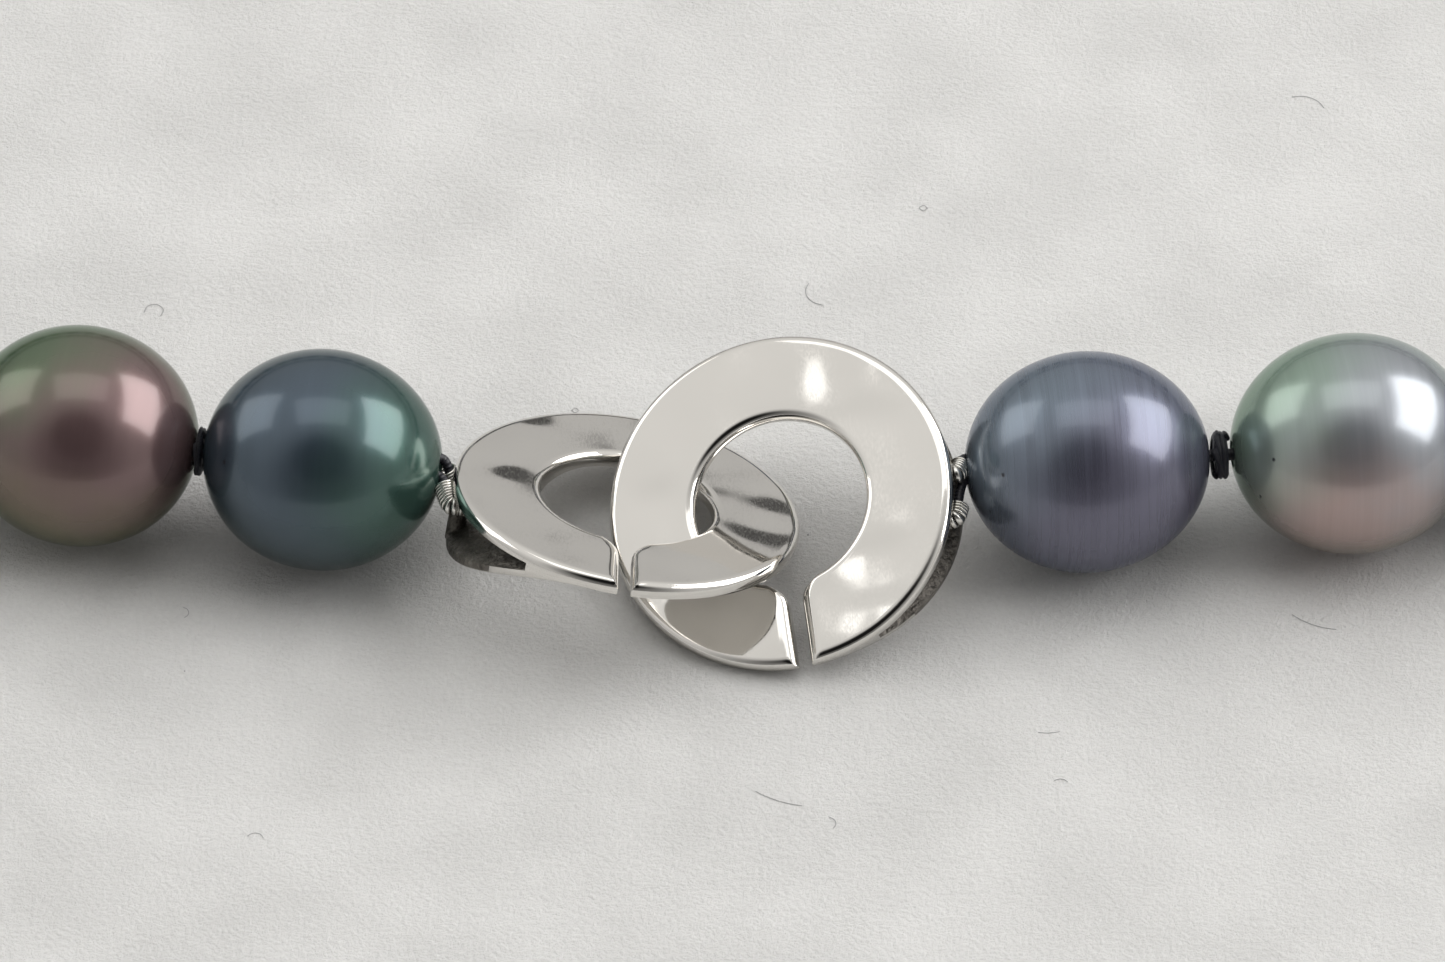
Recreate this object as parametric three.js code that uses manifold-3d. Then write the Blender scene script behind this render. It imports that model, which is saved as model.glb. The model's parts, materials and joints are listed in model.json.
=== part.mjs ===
import * as THREE from 'three';
import { mergeVertices } from 'three/addons/utils/BufferGeometryUtils.js';
import Module from 'manifold-3d';

const wasm = await Module();
wasm.setup();

// Driving dimensions, in millimetres and degrees.
// The necklace lies closed on a flat surface, +Z up, with its clasp at the front (-Y).

// Pearls: 1 is left of the clasp, PEARL_COUNT is right of it, the largest is opposite.
const PEARL_COUNT = 37;
const END_PEARL_DIAMETER = 9.1;
const CENTRE_PEARL_DIAMETER = 11.2;
const LEFT_END_STRETCH = 1.08;
const RIGHT_END_STRETCH = 1.105;
const CENTRE_STRETCH = 1.03;
const DRILL_DIAMETER = 1.1;

// Silk: one thread through every pearl, knotted in every gap.
const THREAD_DIAMETER = 0.5;
const LOOP_THREAD_DIAMETER = 0.36;
const KNOT_DIAMETER = 1.9;
const KNOT_GAP = 0.6;
const LEFT_KNOT_GAP = 0.3;
const RIGHT_KNOT_GAP = 0.9;
const MOUTH_GAP = 0.15;
const KNOT_CLEARANCE = 0.1;
const KNOT_SHOULDER = 0.6;
const KNOT_TIP = 1.2;
const TUCK = 1.4;
const STRAND_TUCK = 1.2;
const LIP = 0.1;
const LEG_SPREAD = 0.14;
const LEG_LEAD = 0.22;
const TUCK_SPREAD = 0.02;
const WRAP_STEPS = 12;

// Shape of the closed loop: flatter at the clasp and opposite it, rounder at the sides.
const LOOP_OVAL = 0.42;
const LOOP_FLAT_FRONT = 0.28;
const LOOP_SKEW = 0.02;

// Clasp rings: two open rings with a flat face, thin where they link and deep at the post.
const RING_HOLE_RADIUS = 3.6;
const RING_BAND_WIDTH = 3.6;
const LINK_OFFSET = 0.8;
const RING_THIN_DEPTH = 0.65;
const RING_POST_DEPTH = 3.3;
const RING_TAPER_START = 1.5;
const GAP_WIDTH = 0.55;
const GAP_FLARE = 1.2;
const GAP_CORNER = 0.9;
const FACE_PLATE = 0.45;
const BACK_PLATE = 0.3;
const SIDE_WALL = 0.45;
const WINDOW_ANGLE = 56;
const POST_DIAMETER = 0.84;
const POST_ROOT = 0.1;
const CAVITY_CLEARANCE = 1.2;
const CUT_MARGIN = 1;
const CORNER_INSET = 0.25;
const CORNER_SPREAD = 0.1;
const LEAST_WALL = 0.02;

// Bullion: a hollow tube of fine coiled wire that guards the silk round each post.
const BULLION_DIAMETER = 0.9;
const BULLION_BORE = 0.6;
const BULLION_CLEARANCE = 0.12;
const BULLION_REACH = 118;
const WIRE_TO_MOUTH = 0.78;

// How each ring lies: how far its lowest point clears the surface, its shift in Y, the way
// its face looks and how far its gap is turned from its lowest point, in degrees.
const LEFT_RING = {
  side: -1,
  rise: 0.62,
  shift: -0.81,
  normal: [0.17, 0.2966, 0.9398],
  gapTurn: 0,
};
const RIGHT_RING = {
  side: 1,
  rise: 0.02,
  shift: -1.18,
  normal: [-0.22, -0.4058, 0.8871],
  gapTurn: 8,
};

// Sizes that follow from the ones above.
const RING_RADIUS = RING_HOLE_RADIUS + RING_BAND_WIDTH;
const RING_SPACING = RING_HOLE_RADIUS + RING_BAND_WIDTH / 2 + LINK_OFFSET;
const POST_OFFSET = RING_RADIUS - POST_DIAMETER / 2;
const WRAP_RADIUS = POST_DIAMETER / 2 + BULLION_DIAMETER / 2 + BULLION_CLEARANCE;
const WRAP_DEPTH = FACE_PLATE + BULLION_DIAMETER / 2 + BULLION_CLEARANCE;
const HOLE_HEIGHT = END_PEARL_DIAMETER / 2;
const CAVITY_START = RING_TAPER_START + CAVITY_CLEARANCE;

const PEARL_SEGMENTS = 12;
const PEARL_ROWS = 6;
const KNOT_SEGMENTS = 8;
const THREAD_SEGMENTS = 4;
const POST_SEGMENTS = 10;
const RING_SEGMENTS = 20;

const PEARL_COLOURS = [0x34434f, 0x6d5258, 0x4a5560, 0x5f6a63, 0x3d3f49, 0x7c7f88];
const SILK = { color: 0x0d0d12, roughness: 0.85, metalness: 0 };
const POLISHED_METAL = { color: 0xd9d6d0, roughness: 0.12, metalness: 1 };
const BULLION_METAL = { color: 0xe4e4e6, roughness: 0.25, metalness: 1 };

const necklace = new THREE.Group();

function addMesh(parent, name, geometry, finish) {
  const mesh = new THREE.Mesh(geometry, new THREE.MeshStandardMaterial(finish));
  mesh.name = name;
  parent.add(mesh);
  return mesh;
}

function toSolid(geometry) {
  const bare = geometry.clone();
  bare.deleteAttribute('normal');
  bare.deleteAttribute('uv');
  const merged = mergeVertices(bare, 1e-4);
  return new wasm.Manifold(new wasm.Mesh({
    numProp: 3,
    vertProperties: new Float32Array(merged.attributes.position.array),
    triVerts: new Uint32Array(merged.index.array),
  }));
}

function toGeometry(solid) {
  const mesh = solid.getMesh();
  const geometry = new THREE.BufferGeometry();
  geometry.setAttribute('position', new THREE.BufferAttribute(mesh.vertProperties, 3));
  geometry.setIndex(new THREE.BufferAttribute(mesh.triVerts, 1));
  return geometry;
}

function lerp(from, to, share) {
  return from + (to - from) * share;
}

// A polyline whose own points are its sampling stations, so a sweep keeps every one of them.
class StationCurve extends THREE.Curve {
  constructor(points) {
    super();
    this.points = points;
  }

  getPoint(t) {
    const place = Math.min(Math.max(t, 0), 1) * (this.points.length - 1);
    const first = Math.min(Math.floor(place), this.points.length - 2);
    return this.points[first].clone().lerp(this.points[first + 1], place - first);
  }

  getUtoTmapping(u) {
    return u;
  }
}

function disc(radius, segments, hole) {
  const shape = new THREE.Shape();
  shape.absarc(0, 0, radius, 0, 2 * Math.PI, false);
  if (hole) {
    const bore = new THREE.Path();
    bore.absarc(0, 0, hole, 0, 2 * Math.PI, true);
    shape.holes.push(bore);
  }
  return { shape, curveSegments: segments };
}

function sweep(points, section) {
  return new THREE.ExtrudeGeometry(section.shape, {
    steps: points.length - 1,
    curveSegments: section.curveSegments,
    bevelEnabled: false,
    extrudePath: new StationCurve(points),
  });
}

// Pearls -------------------------------------------------------------------------------

function pearlSize(number) {
  const middle = (PEARL_COUNT + 1) / 2;
  const fromMiddle = Math.abs(number - middle) / (middle - 1);
  const swell = 0.5 + 0.5 * Math.cos(Math.PI * fromMiddle);
  const endStretch = number < middle ? LEFT_END_STRETCH : RIGHT_END_STRETCH;
  const girth = lerp(END_PEARL_DIAMETER, CENTRE_PEARL_DIAMETER, swell);
  return { girth, length: girth * lerp(endStretch, CENTRE_STRETCH, swell) };
}

// The gap between pearl number and pearl number + 1.
function gapAfter(number) {
  if (number === 0 || number === PEARL_COUNT) return 2 * MOUTH_GAP;
  if (number === 1) return LEFT_KNOT_GAP;
  if (number === PEARL_COUNT - 1) return RIGHT_KNOT_GAP;
  return KNOT_GAP;
}

// Half the distance between the two mouths of the drill hole.
function halfDrilledLength(size) {
  const share = DRILL_DIAMETER / size.girth;
  return (size.length / 2) * Math.sqrt(1 - share * share);
}

// An ellipsoid drilled from end to end, its hole along X.
function pearlGeometry(size) {
  const bore = DRILL_DIAMETER / 2;
  const mouth = halfDrilledLength(size);
  const start = Math.acos((2 * mouth) / size.length);
  const profile = [new THREE.Vector2(bore, -mouth)];
  for (let row = 1; row < PEARL_ROWS; row += 1) {
    const angle = Math.PI - start - (row / PEARL_ROWS) * (Math.PI - 2 * start);
    const across = (size.girth / 2) * Math.sin(angle);
    profile.push(new THREE.Vector2(across, (size.length / 2) * Math.cos(angle)));
  }
  profile.push(new THREE.Vector2(bore, mouth), new THREE.Vector2(bore, -mouth));
  const geometry = new THREE.LatheGeometry(profile, PEARL_SEGMENTS);
  geometry.rotateZ(-Math.PI / 2);
  return geometry;
}

// The loop -----------------------------------------------------------------------------

// The strand is a closed polygon. Side 0 is the clasp, then come the pearls, last to first.
function strandSides() {
  const postReach = POST_OFFSET * Math.hypot(LEFT_RING.normal[1], LEFT_RING.normal[2]);
  const claspSpan = RING_SPACING + 2 * (postReach + WIRE_TO_MOUTH);
  const sides = [{ length: claspSpan }];
  for (let number = PEARL_COUNT; number >= 1; number -= 1) {
    const size = pearlSize(number);
    const before = gapAfter(number) / 2;
    const after = gapAfter(number - 1) / 2;
    sides.push({ number, size, before, length: before + size.length + after });
  }
  return sides;
}

// Lays the sides head to tail. roundness and lean are what closes the loop.
function laySides(sides, roundness, lean) {
  const total = sides.reduce((sum, side) => sum + side.length, 0);
  const heading = (share) => {
    const turn = 2 * Math.PI * share;
    const skewed = turn - 2 * Math.PI * LOOP_SKEW;
    return turn - roundness * Math.sin(turn) - (LOOP_OVAL / 2) * Math.sin(2 * skewed)
      - (LOOP_FLAT_FRONT / 3) * Math.sin(3 * skewed) - lean * Math.cos(turn);
  };
  const start = new THREE.Vector3(-sides[0].length / 2, 0, 0);
  const corner = start.clone();
  let run = -sides[0].length / 2;
  for (const side of sides) {
    const angle = heading((run + side.length / 2) / total) - heading(0);
    side.start = corner.clone();
    side.angle = angle;
    side.along = new THREE.Vector3(Math.cos(angle), Math.sin(angle), 0);
    corner.addScaledVector(side.along, side.length);
    run += side.length;
  }
  return corner.sub(start);
}

// Newton's method on the gap between the last corner and the first.
function closeLoop(sides) {
  const step = 1e-4;
  let roundness = 0;
  let lean = 0;
  for (let round = 0; round < 12; round += 1) {
    const miss = laySides(sides, roundness, lean);
    const byRoundness = laySides(sides, roundness + step, lean).sub(miss).divideScalar(step);
    const byLean = laySides(sides, roundness, lean + step).sub(miss).divideScalar(step);
    const scale = byRoundness.x * byLean.y - byRoundness.y * byLean.x;
    roundness -= (miss.x * byLean.y - miss.y * byLean.x) / scale;
    lean -= (byRoundness.x * miss.y - byRoundness.y * miss.x) / scale;
  }
  laySides(sides, roundness, lean);
}

function addPearls(sides) {
  for (const side of sides.slice(1)) {
    const name = `pearl_${String(side.number).padStart(2, '0')}`;
    const colour = PEARL_COLOURS[side.number % PEARL_COLOURS.length];
    const finish = { color: colour, roughness: 0.2, metalness: 0.35 };
    const mesh = addMesh(necklace, name, pearlGeometry(side.size), finish);
    mesh.position.copy(side.start);
    mesh.position.addScaledVector(side.along, side.before + side.size.length / 2);
    mesh.position.z = side.size.girth / 2;
    mesh.rotation.z = side.angle;
  }
}

// Each corner of the strand, at the mean height of the two drill holes that meet there.
function cornerPoints(sides) {
  const corners = [];
  for (let k = 1; k < sides.length - 1; k += 1) {
    const corner = sides[k + 1].start.clone();
    corner.z = (sides[k].size.girth + sides[k + 1].size.girth) / 4;
    corners.push(corner);
  }
  return corners;
}

// Silk ---------------------------------------------------------------------------------

// A squashed knot, its axis along X, that fills the gap between two pearls.
function knotGeometry(gap) {
  const half = gap / 2 - KNOT_CLEARANCE;
  const profile = [
    [0, -half * KNOT_TIP], [KNOT_DIAMETER / 2, -half * KNOT_SHOULDER],
    [KNOT_DIAMETER / 2, half * KNOT_SHOULDER], [0, half * KNOT_TIP],
  ].map((p) => new THREE.Vector2(...p));
  const geometry = new THREE.LatheGeometry(profile, KNOT_SEGMENTS);
  geometry.rotateZ(-Math.PI / 2);
  return geometry;
}

// The wrap's path round a post, in the plane of its ring, from the near leg to the far leg.
function wrapPoints(ring, steps) {
  const points = [];
  for (let step = 0; step <= steps; step += 1) {
    const angle = THREE.MathUtils.degToRad(lerp(-BULLION_REACH, BULLION_REACH, step / steps));
    points.push(new THREE.Vector3(
      ring.side * (POST_OFFSET - WRAP_RADIUS * Math.cos(angle)),
      WRAP_RADIUS * Math.sin(angle),
      -WRAP_DEPTH,
    ));
  }
  return points;
}

// The point that a leg reaches by going straight on out of the bullion.
function straightOn(before, end) {
  return end.clone().addScaledVector(end.clone().sub(before).normalize(), LEG_LEAD);
}

// The silk's own loop at one end: out of the pearl, through the bullion and back.
function silkLoop(ring, frame, end) {
  const inside = end.mouth.clone().addScaledVector(end.inward, TUCK);
  const lip = end.mouth.clone().addScaledVector(end.inward, LIP);
  const wrap = wrapPoints(ring, WRAP_STEPS).map((p) => p.applyMatrix4(frame));
  wrap.unshift(straightOn(wrap[1], wrap[0]));
  wrap.push(straightOn(wrap[wrap.length - 2], wrap[wrap.length - 1]));
  const spread = new THREE.Vector3(0, LEG_SPREAD, 0);
  const points = [
    inside, lip.clone().sub(spread), ...wrap, lip.clone().add(spread), inside.clone(),
  ];
  points[points.length - 1].y += TUCK_SPREAD;
  return sweep(points, disc(LOOP_THREAD_DIAMETER / 2, THREAD_SEGMENTS));
}

function addSilk(sides, rings) {
  const corners = cornerPoints(sides);
  const ends = [RIGHT_RING, LEFT_RING].map((ring) => strandEnd(sides, ring));
  const strand = [
    ends[0].mouth.clone().addScaledVector(ends[0].inward, STRAND_TUCK),
    ...corners,
    ends[1].mouth.clone().addScaledVector(ends[1].inward, STRAND_TUCK),
  ];
  let silk = toSolid(sweep(strand, disc(THREAD_DIAMETER / 2, THREAD_SEGMENTS)));
  corners.forEach((corner, k) => {
    const number = sides[k + 1].number - 1;
    const knot = knotGeometry(gapAfter(number));
    knot.rotateZ((sides[k + 1].angle + sides[k + 2].angle) / 2);
    knot.translate(corner.x, corner.y, corner.z);
    silk = silk.add(toSolid(knot));
  });
  rings.forEach((frame, k) => {
    const ring = [RIGHT_RING, LEFT_RING][k];
    silk = silk.add(toSolid(silkLoop(ring, frame, ends[k])));
  });
  addMesh(necklace, 'silk_thread', toGeometry(silk), SILK);
}

// The drill mouth nearest to a ring, and the way into that pearl.
function strandEnd(sides, ring) {
  const last = ring.side > 0 ? sides[1] : sides[sides.length - 1];
  const mouth = last.start.clone();
  if (ring.side < 0) mouth.addScaledVector(last.along, last.length);
  mouth.z = HOLE_HEIGHT;
  return { mouth, inward: last.along.clone().multiplyScalar(ring.side) };
}

// Clasp rings --------------------------------------------------------------------------

// The ring's own frame: X across the loop's front, Z out of its polished face. Its height
// lifts its lowest point clear of the surface.
function ringFrame(ring, geometry) {
  const normal = new THREE.Vector3(...ring.normal).normalize();
  const across = new THREE.Vector3(1, 0, 0).addScaledVector(normal, -normal.x).normalize();
  const up = normal.clone().cross(across);
  const turned = new THREE.Matrix4().makeBasis(across, up, normal);
  const places = geometry.clone().applyMatrix4(turned).attributes.position;
  const height = ring.rise - new THREE.Box3().setFromBufferAttribute(places).min.z;
  return turned.setPosition(ring.side * RING_SPACING / 2, ring.shift, height);
}

// The outline of an open band between two radii, its opening flared towards the hole.
function openBand(inner, outer, halfGap, flare, centreAngle) {
  const toPoint = (radius, offset, side) => {
    const along = Math.sqrt(radius * radius - offset * offset);
    const local = new THREE.Vector2(along, side * offset);
    return local.rotateAround(new THREE.Vector2(0, 0), centreAngle);
  };
  const outerAngle = Math.asin(halfGap / outer);
  const innerAngle = Math.asin(flare / inner);
  const shape = new THREE.Shape();
  shape.absarc(0, 0, outer, centreAngle + outerAngle,
    centreAngle + 2 * Math.PI - outerAngle, false);
  const neckOne = toPoint(inner + GAP_CORNER, halfGap, -1);
  const endOne = toPoint(inner, flare, -1);
  const cornerOne = toPoint(inner + CORNER_INSET, halfGap + CORNER_SPREAD, -1);
  shape.lineTo(neckOne.x, neckOne.y);
  shape.quadraticCurveTo(cornerOne.x, cornerOne.y, endOne.x, endOne.y);
  shape.absarc(0, 0, inner, centreAngle + 2 * Math.PI - innerAngle,
    centreAngle + innerAngle, true);
  const neckTwo = toPoint(inner + GAP_CORNER, halfGap, 1);
  const cornerTwo = toPoint(inner + CORNER_INSET, halfGap + CORNER_SPREAD, 1);
  shape.quadraticCurveTo(cornerTwo.x, cornerTwo.y, neckTwo.x, neckTwo.y);
  shape.closePath();
  return shape;
}

// The side view of a ring between two depths: thin where it links, deep at its post.
function wedge(side, top, inset, reach, start) {
  const thin = -(RING_THIN_DEPTH - inset);
  const deep = -(RING_POST_DEPTH - inset);
  const shape = new THREE.Shape();
  shape.moveTo(side * start, top);
  shape.lineTo(side * start, Math.min(thin, top - LEAST_WALL));
  shape.lineTo(side * RING_TAPER_START, Math.min(thin, top - LEAST_WALL));
  const middle = (RING_TAPER_START + RING_RADIUS) / 2;
  shape.quadraticCurveTo(side * middle, thin, side * RING_RADIUS, deep);
  shape.lineTo(side * reach, deep);
  shape.lineTo(side * reach, top);
  shape.closePath();
  return shape;
}

function extruded(shape, depth, segments) {
  return new THREE.ExtrudeGeometry(shape, {
    depth, steps: 1, curveSegments: segments, bevelEnabled: false,
  });
}

// A wedge runs the whole way across the ring.
function wedgeSolid(shape) {
  const geometry = extruded(shape, 4 * RING_RADIUS, 6);
  geometry.translate(0, 0, -2 * RING_RADIUS);
  geometry.rotateX(Math.PI / 2);
  return toSolid(geometry);
}

function bandSolid(shape) {
  const geometry = extruded(shape, 2 * RING_POST_DEPTH, RING_SEGMENTS);
  geometry.translate(0, 0, -2 * RING_POST_DEPTH);
  return toSolid(geometry);
}

// The open sector beside and round the post, cut through the outer wall.
function windowSolid(side) {
  const half = THREE.MathUtils.degToRad(WINDOW_ANGLE);
  const centre = side > 0 ? 0 : Math.PI;
  const shape = new THREE.Shape();
  const inner = RING_RADIUS - 2 * SIDE_WALL;
  shape.absarc(0, 0, RING_RADIUS + CUT_MARGIN, centre - half, centre + half, false);
  shape.absarc(0, 0, inner, centre + half, centre - half, true);
  shape.closePath();
  return bandSolid(shape);
}

function ringGeometry(ring) {
  const gapAngle = THREE.MathUtils.degToRad(-90 + ring.gapTurn);
  const outline = openBand(RING_HOLE_RADIUS, RING_RADIUS, GAP_WIDTH / 2, GAP_FLARE, gapAngle);
  const hollow = openBand(RING_HOLE_RADIUS + SIDE_WALL, RING_RADIUS - SIDE_WALL,
    GAP_FLARE, 1.5 * GAP_FLARE, gapAngle);
  const body = bandSolid(outline).intersect(
    wedgeSolid(wedge(ring.side, 0, 0, RING_RADIUS + CUT_MARGIN, -RING_RADIUS - CUT_MARGIN)),
  );
  const inside = wedgeSolid(
    wedge(ring.side, -FACE_PLATE, BACK_PLATE, RING_RADIUS + CUT_MARGIN, CAVITY_START),
  );
  const cavity = bandSolid(hollow).add(windowSolid(ring.side)).intersect(inside);
  const post = new THREE.CylinderGeometry(
    POST_DIAMETER / 2, POST_DIAMETER / 2, RING_POST_DEPTH - BACK_PLATE, POST_SEGMENTS,
  );
  post.rotateX(Math.PI / 2);
  post.translate(ring.side * POST_OFFSET, 0, -(RING_POST_DEPTH - BACK_PLATE) / 2 - POST_ROOT);
  const shell = body.subtract(cavity).add(toSolid(post).intersect(body));
  return toGeometry(shell);
}

function addRing(name, geometry, frame) {
  const mesh = addMesh(necklace, name, geometry, POLISHED_METAL);
  mesh.applyMatrix4(frame);
}

function addBullion(name, ring, frame) {
  const section = disc(BULLION_DIAMETER / 2, THREAD_SEGMENTS, BULLION_BORE / 2);
  const mesh = addMesh(necklace, name, sweep(wrapPoints(ring, WRAP_STEPS), section), BULLION_METAL);
  mesh.applyMatrix4(frame);
}

// Assembly -----------------------------------------------------------------------------

const sides = strandSides();
closeLoop(sides);
addPearls(sides);
const shells = [RIGHT_RING, LEFT_RING].map(ringGeometry);
const frames = [RIGHT_RING, LEFT_RING].map((ring, k) => ringFrame(ring, shells[k]));
addRing('clasp_ring_right', shells[0], frames[0]);
addRing('clasp_ring_left', shells[1], frames[1]);
addBullion('french_wire_right', RIGHT_RING, frames[0]);
addBullion('french_wire_left', LEFT_RING, frames[1]);
addSilk(sides, frames);

// The origin is the middle of the necklace's footprint, on the surface that it lies on.
const box = new THREE.Box3().setFromObject(necklace, true);
const centre = box.getCenter(new THREE.Vector3());
necklace.position.set(-centre.x, -centre.y, -box.min.z);

export default necklace;
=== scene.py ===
import json
import math

import bmesh
import bpy
from mathutils import Matrix, Vector, noise


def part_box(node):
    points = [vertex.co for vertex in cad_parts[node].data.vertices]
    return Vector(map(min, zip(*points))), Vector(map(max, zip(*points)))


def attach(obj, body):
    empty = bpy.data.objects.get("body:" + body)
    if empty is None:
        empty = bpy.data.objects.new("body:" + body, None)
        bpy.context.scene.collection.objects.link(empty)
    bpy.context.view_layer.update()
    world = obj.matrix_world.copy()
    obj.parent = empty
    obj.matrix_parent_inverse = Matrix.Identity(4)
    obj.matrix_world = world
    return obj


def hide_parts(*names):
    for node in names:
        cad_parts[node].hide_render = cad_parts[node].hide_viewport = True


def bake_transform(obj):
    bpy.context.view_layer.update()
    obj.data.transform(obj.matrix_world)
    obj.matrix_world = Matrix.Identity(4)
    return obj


bl_info = {
    "name": "Pearl Necklace with Ring Clasp",
    "version": (1, 0, 0),
    "blender": (4, 5, 0),
    "location": "View3D > Sidebar > Necklace",
    "description": "Dark cultured pearls on knotted silk, closed by two interlinked open rings",
    "category": "Add Mesh",
}

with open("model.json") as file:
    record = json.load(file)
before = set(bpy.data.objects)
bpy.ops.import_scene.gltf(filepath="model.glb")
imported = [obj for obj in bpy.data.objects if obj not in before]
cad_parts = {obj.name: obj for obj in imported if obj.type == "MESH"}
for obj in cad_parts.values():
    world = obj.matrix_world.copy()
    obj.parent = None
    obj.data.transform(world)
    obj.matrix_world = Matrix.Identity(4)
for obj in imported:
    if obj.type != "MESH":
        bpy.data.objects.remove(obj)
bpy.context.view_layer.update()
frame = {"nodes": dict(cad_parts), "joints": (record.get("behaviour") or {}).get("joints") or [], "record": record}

MM = 0.001
UP = Vector((0, 0, 1))
RECORD = frame["record"]
HINGES = {joint["name"]: Vector(joint["pos_m"]) for joint in frame["joints"]}
MOUNTS = {mount["name"]: mount for mount in RECORD["mounts"]}
SLOTS = {part["node"]: part["material_slot"] for part in RECORD["subparts"]}
PEARL_COUNT = sum(name.startswith("pearl_") for name in frame["nodes"])

# A distance in from the drill mouth, given with the silk loops and the bullion.
BEND_LENGTH = 0.9 * MM
# The bullion's line round a post: its steps, its reach each way, and how far apart its two
# legs end, beside and above the middle of the drill mouth.
WRAP_STEPS = 12
WRAP_REACH = math.radians(112)
LEG_OFFSET = Vector((0, 0.46 * MM, 0.1 * MM))
# Pearls beside the clasp keep their own roll, which keeps their patch of painted sheen towards a softbox; each
# other pearl is rolled on from the last.
UNROLLED = 2
ROLL_STEP = 2.4
# Further in from an opening than any rounding reaches, in millimetres.
CLEAR_OF_EDGES = 10.0


# Small tools ---------------------------------------------------------------------------

def linear(code):
    """An sRGB hex colour as linear red, green, blue and alpha."""
    parts = [int(code[k:k + 2], 16) / 255 for k in (1, 3, 5)]
    return tuple(
        c / 12.92 if c <= 0.04045 else ((c + 0.055) / 1.055) ** 2.4 for c in parts
    ) + (1.0,)


def add_node(tree, kind, settings=None, **inputs):
    """Adds a node, sets its properties, and sets or links each of its inputs."""
    node = tree.nodes.new(kind)
    for name, value in (settings or {}).items():
        setattr(node, name, value)
    for name, value in inputs.items():
        key = int(name[1:]) if name[1:].isdigit() else name.replace("_", " ")
        socket = node.inputs[key]
        if isinstance(value, bpy.types.NodeSocket):
            tree.links.new(value, socket)
        else:
            socket.default_value = value
    return node


def new_material(name):
    material = bpy.data.materials.new(name)
    material.use_nodes = True
    material.node_tree.nodes.clear()
    return material, material.node_tree


def close_material(tree, shader):
    add_node(tree, "ShaderNodeOutputMaterial", Surface=shader.outputs[0])


def smoothstep(low, high, value):
    share = min(max((value - low) / (high - low), 0.0), 1.0)
    return share * share * (3 - 2 * share)


def finish_piece(name, bm, materials, follows, replaced=()):
    """Turns a bmesh, already in place and in metres, into a piece. It rides on the body that it follows; given a
    tuple (first, second, start, end) instead, it stays in place with no parent, and the tuple's entries are not
    used."""
    bmesh.ops.recalc_face_normals(bm, faces=bm.faces)
    mesh = bpy.data.meshes.new(name)
    bm.to_mesh(mesh)
    bm.free()
    for material in materials:
        mesh.materials.append(material)
    piece = bpy.data.objects.new(name, mesh)
    bpy.context.scene.collection.objects.link(piece)
    if isinstance(follows, tuple):
        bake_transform(piece)
    else:
        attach(piece, follows)
    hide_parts(*replaced)
    return piece


def smooth_faces(bm, sharp_angle=math.radians(180)):
    """Smooth shading, with every edge sharper than the angle kept crisp."""
    for face in bm.faces:
        face.smooth = True
    for edge in bm.edges:
        if len(edge.link_faces) == 2 and edge.calc_face_angle(0) > sharp_angle:
            edge.smooth = False


# Places, read from the frame ------------------------------------------------------------

class PearlPlace:
    """Where one pearl lies: its centre, the way its thread runs, its girth and length."""

    def __init__(self, number):
        node = f"pearl_{number:02d}"
        low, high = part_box(node)
        self.number = number
        self.node = node
        self.centre = (low + high) / 2
        self.girth = 2 * self.centre.z
        ahead = HINGES.get(f"knot_{number:02d}")
        behind = HINGES.get(f"knot_{number - 1:02d}")
        along = (ahead or self.centre) - (behind or self.centre)
        along.z = 0
        self.along = along.normalized()
        reach = [
            (v.co - self.centre).dot(self.along) for v in frame["nodes"][node].data.vertices
        ]
        self.half_drilled = (max(reach) - min(reach)) / 2
        self.slot = SLOTS[node]

    def mouth(self, side):
        """The drill mouth ahead (+1, towards higher numbers) or behind (-1)."""
        return self.centre + side * self.half_drilled * self.along

    def matrix(self):
        across = UP.cross(self.along)
        turned = Matrix((self.along, across, UP)).transposed().to_4x4()
        return Matrix.Translation(self.centre) @ turned


PEARLS = {number: PearlPlace(number) for number in range(1, PEARL_COUNT + 1)}


class RingPlace:
    """Where one clasp ring lies. Its own frame is in millimetres: X across, Z out of its face."""

    def __init__(self, word, side, clasp):
        self.word = word
        self.side = side
        self.body = f"clasp_{word}"
        normal = Vector(MOUNTS[f"{word}_ring_face"]["axis"]).normalized()
        across = (Vector((1, 0, 0)) - normal.x * normal).normalized()
        turned = Matrix((across, normal.cross(across), normal)).transposed()
        wrap = HINGES[f"clasp_{word}_twist"]
        centre = wrap - side * clasp["post"] * MM * across + clasp["wrap_depth"] * MM * normal
        self.matrix = Matrix.Translation(centre) @ turned.to_4x4() @ Matrix.Scale(MM, 4)


# The user's sizes and colours -----------------------------------------------------------

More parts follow.
